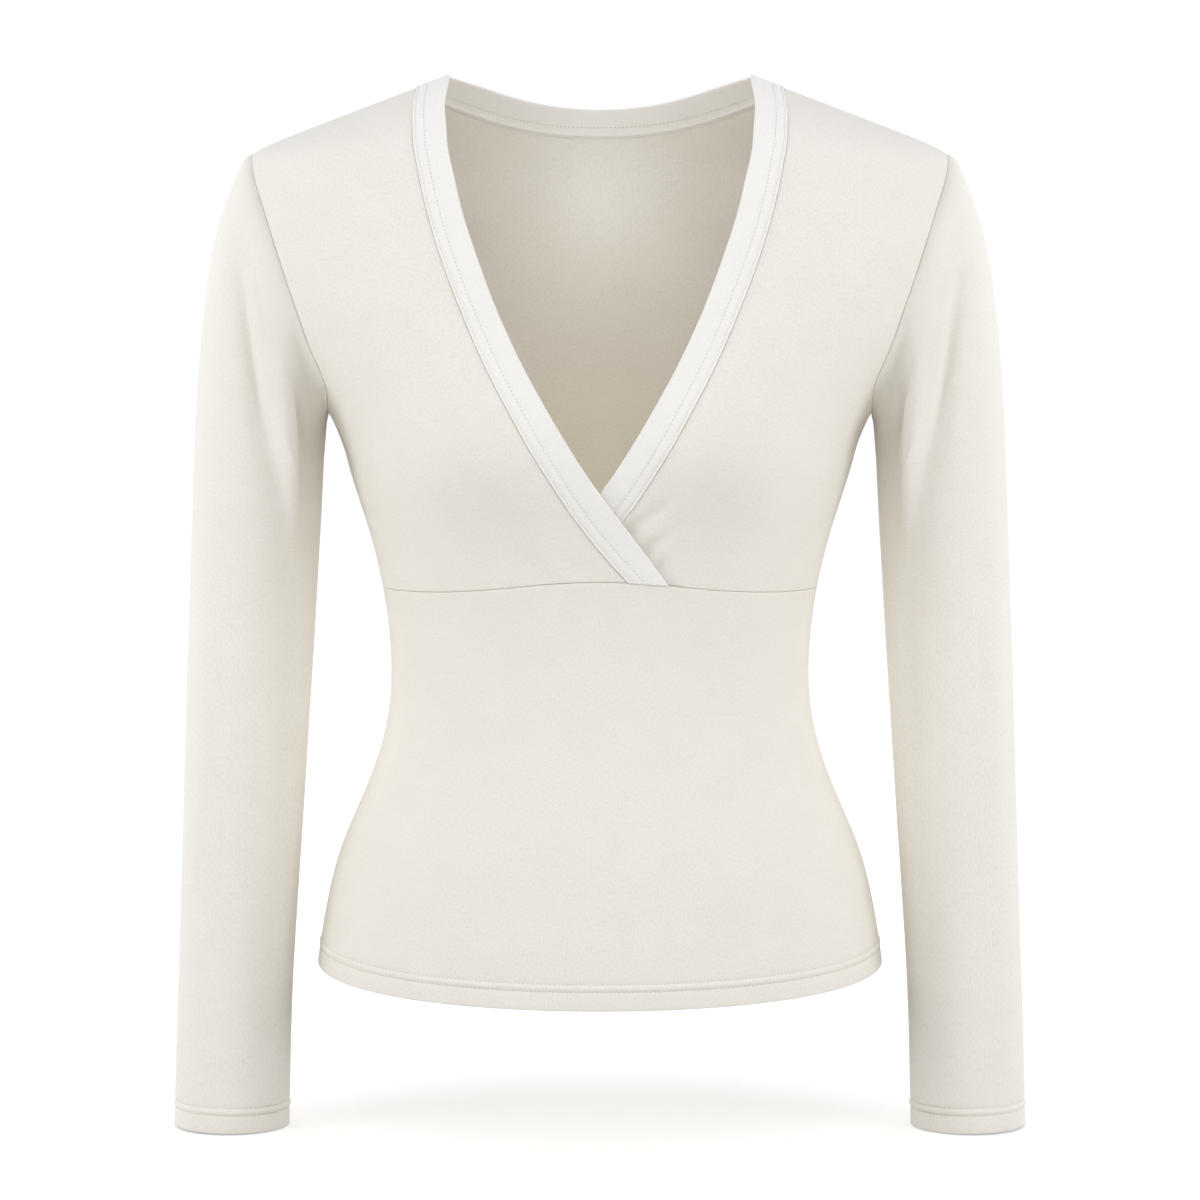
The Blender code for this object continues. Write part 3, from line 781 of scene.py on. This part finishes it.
def sleeve_form(turn, down):
    """The left sleeve: the ring, moved by what the armhole's loop differs from the first ring."""
    down = np.clip(down, 0.0, 1.0)
    fade = 1.0 - ease(down / CAP_FADE)
    moved = body(armhole_loop(turn)) - ring(turn, np.zeros_like(down))
    return ring(turn, down) + fade[..., None] * moved


def sleeve_outward(turn, down):
    """The sleeve's normal, from four near points; the way round crossed with the way down."""
    turn, down = np.broadcast_arrays(turn, down)
    round_arm = sleeve_form(turn + TURN_STEP, down) - sleeve_form(turn - TURN_STEP, down)
    down_arm = sleeve_form(turn, down + DOWN_STEP) - sleeve_form(turn, down - DOWN_STEP)
    return unit(np.cross(round_arm, down_arm))


def armhole_inward(places):
    """Into the seam at the armhole: against the sum of the body's and the sleeve's normals."""
    share = np.clip((places[..., 1] - UNDERARM) / (SHOULDER_POINT - UNDERARM), 0.0, 1.0)
    facing = np.where(np.cos(np.radians(places[..., 0])) > 0.0, 1.0, -1.0)
    turn = facing * np.arccos(2.0 * share - 1.0)
    return -unit(outward(places) + sleeve_outward(turn, np.full(turn.shape, DOWN_STEP)))


cuff = sleeve_form(np.linspace(-math.pi, math.pi, 181), np.ones(181))
print("cuff, m round:", round(float(walked(cuff)[-1]), 3))

# %% [markdown]
# ## Cutting the body's pieces
#
# Back, lower front and the two bodices are the same thing four times: a patch on the body, its
# edges, and what sinks the cloth.  One function lays any of them.  A seam's roll sinks along the
# body's normal, except at the armhole, where cloth turns into the corner of body and sleeve.

# %% Laying a panel
GRAIN_RADIUS = 0.14
AT_UNDERARM = 0.0002


def panel(name, piece, places_at, columns, rows, sunk=None, armholes=0):
    """A cloth panel: body point + normal * (-creases - sunk) and the edges' depths, inward.

    armholes counts the sides that end in an armhole: none, the last one, or both.
    """
    across, up, depth_across, depth_up = laid_out(on_body(places_at), columns, rows)
    places = places_at(across, up)
    normal = outward(places)
    depth = creased(piece, places)
    if sunk is not None:
        depth = depth + sunk(places)
    tuck = np.where(depth_across + depth_up < 0.0, np.minimum(depth_across, depth_up),
                    np.maximum(depth_across, depth_up))
    turned = (depth_across > 0.0) & (places[..., 1] > UNDERARM - AT_UNDERARM)
    turned[:, :len(columns) * (2 - armholes) // 2] = False
    inward = -normal
    inward[turned] = armhole_inward(places[turned])
    points = body(places) - normal * depth[..., None] + inward * tuck[..., None]
    return name, points, joined(np.radians(places[..., 0]) * GRAIN_RADIUS, places[..., 1])


# %% [markdown]
# ### The lower front
#
# One piece from the seam under the bust to the hem, and from side seam to side seam.

# %% The lower front
def lower_places(across, up):
    """Angle from -90 to 90 by the share across; height from the hem to the seam under the bust."""
    angle = (2.0 * across - 1.0) * SIDE_ANGLE
    low = hem_height(angle)
    return joined(angle, low + (empire_height(angle) - low) * up)


cloth(*panel("lower_front_cloth", "lower", lower_places,
             lines_between(seam_edge, seam_edge, cells=120),
             lines_between(hem_edge, seam_edge, cells=52)))

# %% [markdown]
# ### The back
#
# One piece from the hem to the neck.  Its rows take the top's shape only near the top, or the
# patch would fold over itself at the armholes.

# %% The back
def side_line(low, high):
    """A straight climb at the side seam's angle."""
    return lambda share: joined(SIDE_ANGLE, low + (high - low) * share)


def hem_behind(share):
    """The hem from the left side seam round the back to the right one."""
    angle = SIDE_ANGLE + 2.0 * SIDE_ANGLE * share
    return joined(angle, hem_height(angle))


def neck_behind(share):
    """The neck seam from the left shoulder round the back to the right one."""
    place = SHOULDER_PLACE * (1.0 - 2.0 * share)
    left = neckline(np.abs(place), 0.0)
    return np.where((place < 0.0)[..., None], mirrored(left), left)


left_edge = side(side_line(HEM_SIDE, UNDERARM), lambda share: mirrored(armhole(share), BEHIND))
back_places = between(
    side(hem_behind),
    side(side_line(SHOULDER_POINT, SHOULDER_NECK), neck_behind,
         lambda share: mirrored(side_line(SHOULDER_NECK, SHOULDER_POINT)(share))),
    left_edge,
    lambda share: mirrored(left_edge(share)),
    lean=3.0,
)
cloth(*panel("back_cloth", "back", back_places, lines_between(seam_edge, seam_edge, cells=124),
             lines_between(hem_edge, seam_edge, cells=150), armholes=2))

# %% [markdown]
# ### The two bodices
#
# Each bodice's inner edge is the long neck seam, which runs on past the centre front.  The
# wearer's right one lies on the body's form; the left one sinks under it where it is covered, and
# comes up gently above the crossing.

# %% The two bodices
CROSSING_HEIGHT = -0.2364
CROSSING_FALL = 0.00306
UNDER_FADE = 0.014
UNDER_DEPTH = 0.0015
END_ANGLE = NECK[-1, 0]


def covered(places):
    """1 below the right front's edge, easing to 0 over a finger's breadth above it."""
    covering_edge = CROSSING_HEIGHT - CROSSING_FALL * places[..., 0]
    return 1.0 - ease((places[..., 1] - covering_edge) / UNDER_FADE)


def empire_line(share):
    """The seam under the bust from the band's end to the side seam."""
    angle = END_ANGLE + (SIDE_ANGLE - END_ANGLE) * share
    return joined(angle, empire_height(angle))


def neck_seam_up(share):
    """The neck seam from the band's end up to the shoulder."""
    return neckline(1.0 - (1.0 - SHOULDER_PLACE) * share, 0.0)


bodice_places = between(
    side(empire_line),
    side(side_line(SHOULDER_NECK, SHOULDER_POINT)),
    side(neck_seam_up),
    side(side_line(EMPIRE_SIDE, UNDERARM), armhole),
)
bodice_columns = lines_between(seam_edge, seam_edge, cells=76)
bodice_rows = lines_between(seam_edge, seam_edge, cells=118)

cloth(*panel("left_front_cloth", "left_front", bodice_places, bodice_columns, bodice_rows,
             sunk=lambda places: UNDER_DEPTH * covered(places), armholes=1))
name, points, flat_place = panel("right_front_cloth", "right_front", bodice_places,
                                 bodice_columns, bodice_rows, armholes=1)
cloth(name, points[:, ::-1] * OTHER_SIDE, flat_place[:, ::-1] * OTHER_SIDE[:2])

# %% [markdown]
# ## The neckband
#
# One long strip folded lengthwise: its fold is the top's free edge and both raw edges are caught
# in the seam.  It stands a little proud, with a rounded lip at the seam and two rows of stitches.
# Its grid is laid as it is sewn, from the seam round the fold and back inside to the seam.

# %% The neckband
BAND_WIDTH = 0.02
BAND_PROUD = 0.0008
BAND_ROWS = (0.0018, 0.0070)
BAND_GROOVE = 0.00030
FIRST_GROOVE = 1.3 * BAND_GROOVE
FIRST_SINK = 1.5 * BAND_GROOVE
LIP = 0.00045
first_row, second_row = BAND_ROWS

band_seam = np.concatenate([
    [(0.0, SEAM_TUCK + BAND_PROUD)],
    rolled(SEAM_ROLL, 90.0, 4),
    [(first_row - 0.5 * MM, -LIP), (first_row, FIRST_GROOVE), (first_row + 0.6 * MM, 0.0),
     (0.5 * (first_row + second_row), -0.5 * LIP), (second_row - 0.7 * MM, 0.0),
     (second_row, BAND_GROOVE), (second_row + 0.7 * MM, 0.0), (second_row + 2.2 * MM, -0.3 * LIP)],
])
band_seam[:, 0] += SEAM_HALF_GAP
band_fold = np.concatenate([
    table((9.0, 0.0), (5.0, 0.0), (2.0, 0.0)) + np.array([0.0, 2.0 * FOLD_ROLL]),
    rolled(FOLD_ROLL, 180.0, 7),
    table((2.2, 0.0), (4.4, 0.0)),
])
band_end = seam_roll(0.5)
INNER_LIP = table((7.6, 1.50), (6.4, 1.50), (3.2, 1.50), (2.4, 1.85), (1.7, 2.05), (1.0, 1.80),
                  (0.6, 1.20))
inner_layer = np.array([(0.0, distance, 0.0, depth) for distance, depth in INNER_LIP])
band_lines = np.concatenate([lines_between(band_seam, band_fold, cells=3), inner_layer])


def band_walk():
    """Places along the band as a function of an even share of its length, right end to left."""
    fine = np.linspace(-1.0, 1.0, 1601)
    places = neckline(np.abs(fine), 0.5)
    lengths = walked(body(np.where((fine > 0.0)[:, None], places, mirrored(places, 0.0))))
    return (lambda share: np.interp(share * lengths[-1], lengths, fine)), lengths[-1]


band_place, band_length = band_walk()


def band_places(across, up):
    """Angle and height on the band: the neckline's, with the angle's sign on the right side."""
    across, up = np.broadcast_arrays(across, up)
    place = band_place(across)
    places = neckline(np.abs(place), up)
    return np.where((place > 0.0)[..., None], places, mirrored(places, 0.0))


def band_lift(across, places):
    """Proud of the body, but level with the left bodice where the right front covers it."""
    hidden = np.where(band_place(across) > 0.0, covered(places), 0.0)
    return BAND_PROUD - (BAND_PROUD + UNDER_DEPTH) * hidden


def neckband():
    """The band's grid: across is along the strip, up is from the seam to the fold."""
    columns = lines_between(band_end, band_end, cells=440)
    across, up, end_depth, depth = laid_out(on_body(band_places), columns, band_lines)
    places = band_places(across, up)
    lift = band_lift(across, places) - np.maximum(depth, end_depth)
    points = body(places) + outward(places) * lift[..., None]
    return points, joined(across * band_length, up * BAND_WIDTH)


points, flat_place = neckband()
cloth("neckband_cloth", points[::-1], flat_place[::-1])
print("neckband, m long:", round(float(band_length), 3))

# %% [markdown]
# ## The sleeves
#
# The same grid for both, the right one mirrored.  Where the cap's spare cloth falls, soft folds
# run down the arm: bells round it with a fade down it, which drift as they fall.

# %% The sleeves
Fold = namedtuple("Fold", "angle drift start end spread height")
FOLDS = [
    Fold(101.0, 40.0, 0.14, 0.70, 9.0, 0.0085),
    Fold(115.0, 60.0, 0.12, 0.58, 12.0, -0.0080),
    Fold(45.0, 76.0, 0.15, 0.56, 13.0, -0.0085),
    Fold(128.0, 6.0, 0.36, 1.04, 18.0, -0.0075),
    Fold(64.0, 0.0, 0.34, 1.02, 28.0, 0.0040),
    Fold(262.0, -42.0, 0.16, 0.66, 10.0, 0.0062),
    Fold(245.0, -60.0, 0.14, 0.56, 12.0, -0.0068),
    Fold(320.0, -70.0, 0.18, 0.52, 15.0, -0.0045),
]
CAP_LOW, CAP_RISE = 0.30, 0.35
SLEEVE_GRAIN_RADIUS = 0.036
SLEEVE_LENGTH = 0.57
cap_edge = np.concatenate([seam_edge[:-2], table((1.4, -0.30), (3.0, -0.45), (5.2, -0.40),
                                                 (6.8, -0.12), (8.5, 0.0))])


def folded_out(angle, down):
    """Sum of the folds: height times a bell in the angle times sin^2 of the share down the fold."""
    swell = np.zeros(np.broadcast(angle, down).shape)
    for fold in FOLDS:
        share = (down - fold.start) / (fold.end - fold.start)
        centre = fold.angle + fold.drift * share
        fade = np.sin(math.pi * np.clip(share, 0.0, 1.0)) ** 2
        swell = swell + fold.height * np.exp(-(((angle - centre) / fold.spread) ** 2)) * fade
    return swell


def turn_at(share):
    """A share of the way round the arm, from the inner end, as a turn from -pi to pi."""
    return (2.0 * share - 1.0) * math.pi


def sleeve_at(across, up):
    """The sleeve by shares: across goes once round from the inner end, up from armhole to cuff."""
    across, up = np.broadcast_arrays(across, up)
    return sleeve_form(turn_at(across), up)


def sleeve():
    """The left sleeve's points and its places in the flat cloth.

    Beside the cap's seam a strip is raised over the allowances, fading towards the underarm.
    """
    round_arm = np.linspace(0.0, 1.0, 109)
    rows = lines_between(cap_edge, hem_edge, cells=170)
    down = spread(rows, sleeve_at, round_arm, True).T
    turn = np.broadcast_to(turn_at(round_arm), down.shape)
    normal = sleeve_outward(turn, down)
    near_cap = rows[:, :1] == 0.0
    on_cap = ease((outer_share(turn) - CAP_LOW) / CAP_RISE)
    depth = rows[:, 3:] * np.where((rows[:, 3:] < 0.0) & near_cap, on_cap, 1.0)
    inward = np.where(near_cap[..., None], armhole_inward(armhole_loop(turn[0])), -normal)
    swell = folded_out(np.degrees(turn) % 360.0, down)
    points = sleeve_form(turn, down) + normal * swell[..., None] + inward * depth[..., None]
    return points, joined(turn * SLEEVE_GRAIN_RADIUS, -SLEEVE_LENGTH * down)


points, flat_place = sleeve()
cloth("left_sleeve_cloth", points, flat_place, closed=True)
cloth("right_sleeve_cloth", points[:, ::-1] * OTHER_SIDE, flat_place[:, ::-1], closed=True)

# %% [markdown]
# ## Stitches
#
# Each stitch is a short, fat loop of thread that comes up through the cloth, lies on it and goes
# down again.  One small tube, sunk at both ends and raised in its middle, is set along every row.

# %% Stitches
STITCH_PITCH = 0.0025
STITCH_LENGTH = 0.0018
THREAD_RADIUS = 0.00020
STITCH_RISE = 0.00022
STITCH_SINK = 0.00016
tube_share = np.array([0.0, 0.2, 0.8, 1.0])
tube_size = np.array([0.45, 1.0, 1.0, 0.45])
tube_turn = np.linspace(0.0, 2.0 * math.pi, 6)[:-1]


def even_marks(path, normals):
    """Ends of the stitches along a path, one pitch apart, with the cloth's normal at each."""
    lengths = walked(path)
    starts = np.arange(0.5 * STITCH_PITCH, lengths[-1] - STITCH_PITCH, STITCH_PITCH)

    def at(length, values):
        return np.stack([np.interp(length, lengths, values[:, k]) for k in range(3)], axis=-1)

    return at(starts, path), at(starts + STITCH_LENGTH, path), unit(at(starts, normals))


def stitches(name, rows):
    """One mesh of tubes: start + share * way + normal * (rise * sin - sink) + radius round it."""
    marks = zip(*(even_marks(*row) for row in rows))
    starts, stops, normals = (np.concatenate(parts) for parts in marks)
    way = stops - starts
    beside = np.cross(unit(way), normals)
    starts, way, normals, beside = (v[:, None, None] for v in (starts, way, normals, beside))
    share = tube_share[:, None, None]
    radius = THREAD_RADIUS * tube_size[:, None, None]
    turn = tube_turn[:, None]
    rise = STITCH_RISE * np.sin(math.pi * share) - STITCH_SINK
    points = (starts + share * way + normals * (rise + radius * np.cos(turn))
              + beside * radius * np.sin(turn))
    index = np.arange(points[..., 0].size).reshape(points.shape[:3])
    next_side = np.roll(index, -1, axis=2)
    walls = np.stack([index[:, :-1], index[:, 1:], next_side[:, 1:], next_side[:, :-1]], axis=-1)
    made = smooth_mesh(name, points, [*walls.reshape(-1, 4).tolist(), *index[:, 0].tolist(),
                                      *index[:, -1, ::-1].tolist()])
    print(name, "has", len(index), "stitches")
    return made


# %% [markdown]
# The rows run in the grooves of the cloth.  At the back of the neck the inner side shows too, so
# the band has its rows on both faces.

# %% Rows of stitches
def row_on(places_at, distance, margin, count):
    """Shares and places of a line at a distance above a piece's first edge."""
    across = np.linspace(margin, 1.0 - margin, count)
    return across, places_at(across, distance / pace(on_body(places_at), across, 0.0, True))


def hem_row(places_at, distance):
    """Points and normals of a line at a distance above the hem's fold, across a panel."""
    across, places = row_on(places_at, distance, margin=0.002, count=900)
    normal = outward(places)
    return body(places) - normal * GROOVE, normal


def band_row(distance, inner):
    """Points and normals of a line at a distance from the band's seam, outside or inside."""
    across, places = row_on(band_places, distance, margin=0.001, count=2400)
    normal = outward(places)
    sink = BAND_GROOVE if distance == second_row else FIRST_SINK
    lift = band_lift(across, places) - (2.0 * FOLD_ROLL if inner else sink)
    return body(places) + normal * lift[:, None], -normal if inner else normal


def cuff_row(distance, side_sign):
    """Points and normals of a line at a distance above the cuff's fold."""
    round_arm = np.linspace(0.0, 1.0, 500)
    down = 1.0 - distance / pace(sleeve_at, round_arm, 1.0, True)
    turn = turn_at(round_arm)
    normal = sleeve_outward(turn, down)
    sign = np.array([side_sign, 1.0, 1.0])
    return (sleeve_form(turn, down) - normal * GROOVE) * sign, normal * sign


thread_rows = {
    "hem_stitches_front": [hem_row(lower_places, d) for d in ROWS_ABOVE_FOLD],
    "hem_stitches_back": [hem_row(back_places, d) for d in ROWS_ABOVE_FOLD],
    "neckband_stitches": [band_row(d, inner) for d in BAND_ROWS for inner in (False, True)],
    "cuff_stitches_left": [cuff_row(d, 1.0) for d in ROWS_ABOVE_FOLD],
    "cuff_stitches_right": [cuff_row(d, -1.0) for d in ROWS_ABOVE_FOLD],
}
threads = {name: stitches(name, rows) for name, rows in thread_rows.items()}

# %% [markdown]
# ## The knit
#
# Fine jersey has upright columns of loops, the wales, about two to a millimetre, and a soft
# fuzz over them.  From a distance a faint upright grain and a slight unevenness of tone are left.
# Both could be painted; noises drawn on the flat cloth's own metres bend with each piece.

# %% The knit's material
JERSEY = (0.882, 0.846, 0.760)
JERSEY_DEEP = (0.784, 0.733, 0.626)
BAND = (0.915, 0.889, 0.822)
BAND_DEEP = (0.850, 0.812, 0.730)
# The thread is darker than the cloth: partly its own tone, partly painted shade for the dimples
# where the stitches pull the cloth in.
THREAD_WITH_PAINTED_SHADE = (0.64, 0.58, 0.48)
THREAD_WITH_PAINTED_SHADE_DEEP = (0.54, 0.48, 0.38)
FUZZ_PER_METRE = (1000.0, 620.0, 1000.0)
WALES_PER_METRE = (1000.0, 1000.0, 1000.0)
FUZZ_SHARE, CLOUD_SHARE, WALE_SHARE = 0.8, 0.2, 0.35


def knit(name, colour, deep, on_cloth=True):
    """Base colour: two noises between two tones.  Bump: upright wales added to fuzz."""
    made = bpy.data.materials.new(name)
    made.use_nodes = True
    tree = made.node_tree
    place = shader_node(tree, "ShaderNodeTexCoord", "Object")
    flat = shader_node(tree, "ShaderNodeUVMap", "UV", uv_map="cloth") if on_cloth else place
    grain, rib = (shader_node(tree, "ShaderNodeMapping", "Vector", {"Vector": flat, "Scale": scale})
                  for scale in (FUZZ_PER_METRE, WALES_PER_METRE))
    fuzz = shader_node(tree, "ShaderNodeTexNoise", "Fac",
                       {"Vector": grain, "Scale": 1.0, "Detail": 3.0})
    wales = shader_node(tree, "ShaderNodeTexWave", "Fac",
                        {"Vector": rib, "Scale": 0.50, "Distortion": 0.8, "Detail": 1.0})
    cloud = shader_node(tree, "ShaderNodeTexNoise", "Fac",
                        {"Vector": place, "Scale": 45.0, "Detail": 5.0})
    clouded = reckoned(tree, "MULTIPLY", cloud, CLOUD_SHARE)
    tone = reckoned(tree, "MULTIPLY_ADD", fuzz, FUZZ_SHARE, clouded)
    height = reckoned(tree, "MULTIPLY_ADD", wales, WALE_SHARE, fuzz)
    feed(tree, tree.nodes["Principled BSDF"], {
        "Roughness": 0.92,
        "Specular IOR Level": 0.25,
        "Sheen Weight": 0.10,
        "Sheen Roughness": 0.6,
        "Base Color": ramp(tree, tone, (0.25, deep), (0.75, colour)),
        "Normal": shader_node(tree, "ShaderNodeBump", "Normal",
                              {"Height": height, "Strength": 0.6, "Distance": 0.0002}),
    })
    return made


jersey = knit("jersey", JERSEY, JERSEY_DEEP)
band_jersey = knit("band_jersey", BAND, BAND_DEEP)
# The stitches' finish carries that painted shade of the stitch dimples.
thread_with_painted_shade = knit("thread_with_painted_shade", THREAD_WITH_PAINTED_SHADE, THREAD_WITH_PAINTED_SHADE_DEEP, on_cloth=False)
for name, made in made_cloth.items():
    made.data.materials.append(band_jersey if name == "neckband_cloth" else jersey)
for made in threads.values():
    made.data.materials.append(thread_with_painted_shade)
for node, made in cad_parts.items():
    for slot in made.material_slots:
        slot.material = band_jersey if node == "neckband" else jersey
print("finishes:", jersey.name, band_jersey.name, thread_with_painted_shade.name)

# %% [markdown]
# ## Handing the pieces over
#
# Every cloth says which solid it stands for, what body it moves with and how large it was cut,
# with the turned-up hem.

# %% Handing the pieces over
Cut = namedtuple("Cut", "cloth node width length area threads hangs_from",
                 defaults=[[], ["back_cloth"]])
CUTS = [
    Cut("back_cloth", "back", 0.46, 0.55, 0.211, ["hem_stitches_back"], []),
    Cut("lower_front_cloth", "front_lower", 0.45, 0.26, 0.097, ["hem_stitches_front"],
        ["left_front_cloth", "right_front_cloth"]),
    Cut("left_front_cloth", "front_left", 0.24, 0.30, 0.042),
    Cut("right_front_cloth", "front_right", 0.24, 0.30, 0.042),
    Cut("neckband_cloth", "neckband", 0.04, 1.02, 0.0405, ["neckband_stitches"]),
    Cut("left_sleeve_cloth", "sleeve_left", 0.33, 0.60, 0.129, ["cuff_stitches_left"]),
    Cut("right_sleeve_cloth", "sleeve_right", 0.33, 0.60, 0.129, ["cuff_stitches_right"]),
]


def sheet_area(made):
    """Sum of the faces of the cloth before it gets its wall."""
    areas = np.empty(len(made.data.polygons))
    made.data.polygons.foreach_get("area", areas)
    return float(areas.sum())


for cut in CUTS:
    made = made_cloth[cut.cloth]
    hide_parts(cut.node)
    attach(made, "root")
    for name in cut.threads:
        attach(threads[name], "root")
    print(cut.cloth, "cloth", round(sheet_area(made), 4), "m2, cut", cut.area)

# %% [markdown]
# ## The size
#
# The finished top has to stay the size of its solids.

# %% Updating the scene
bpy.context.view_layer.update()
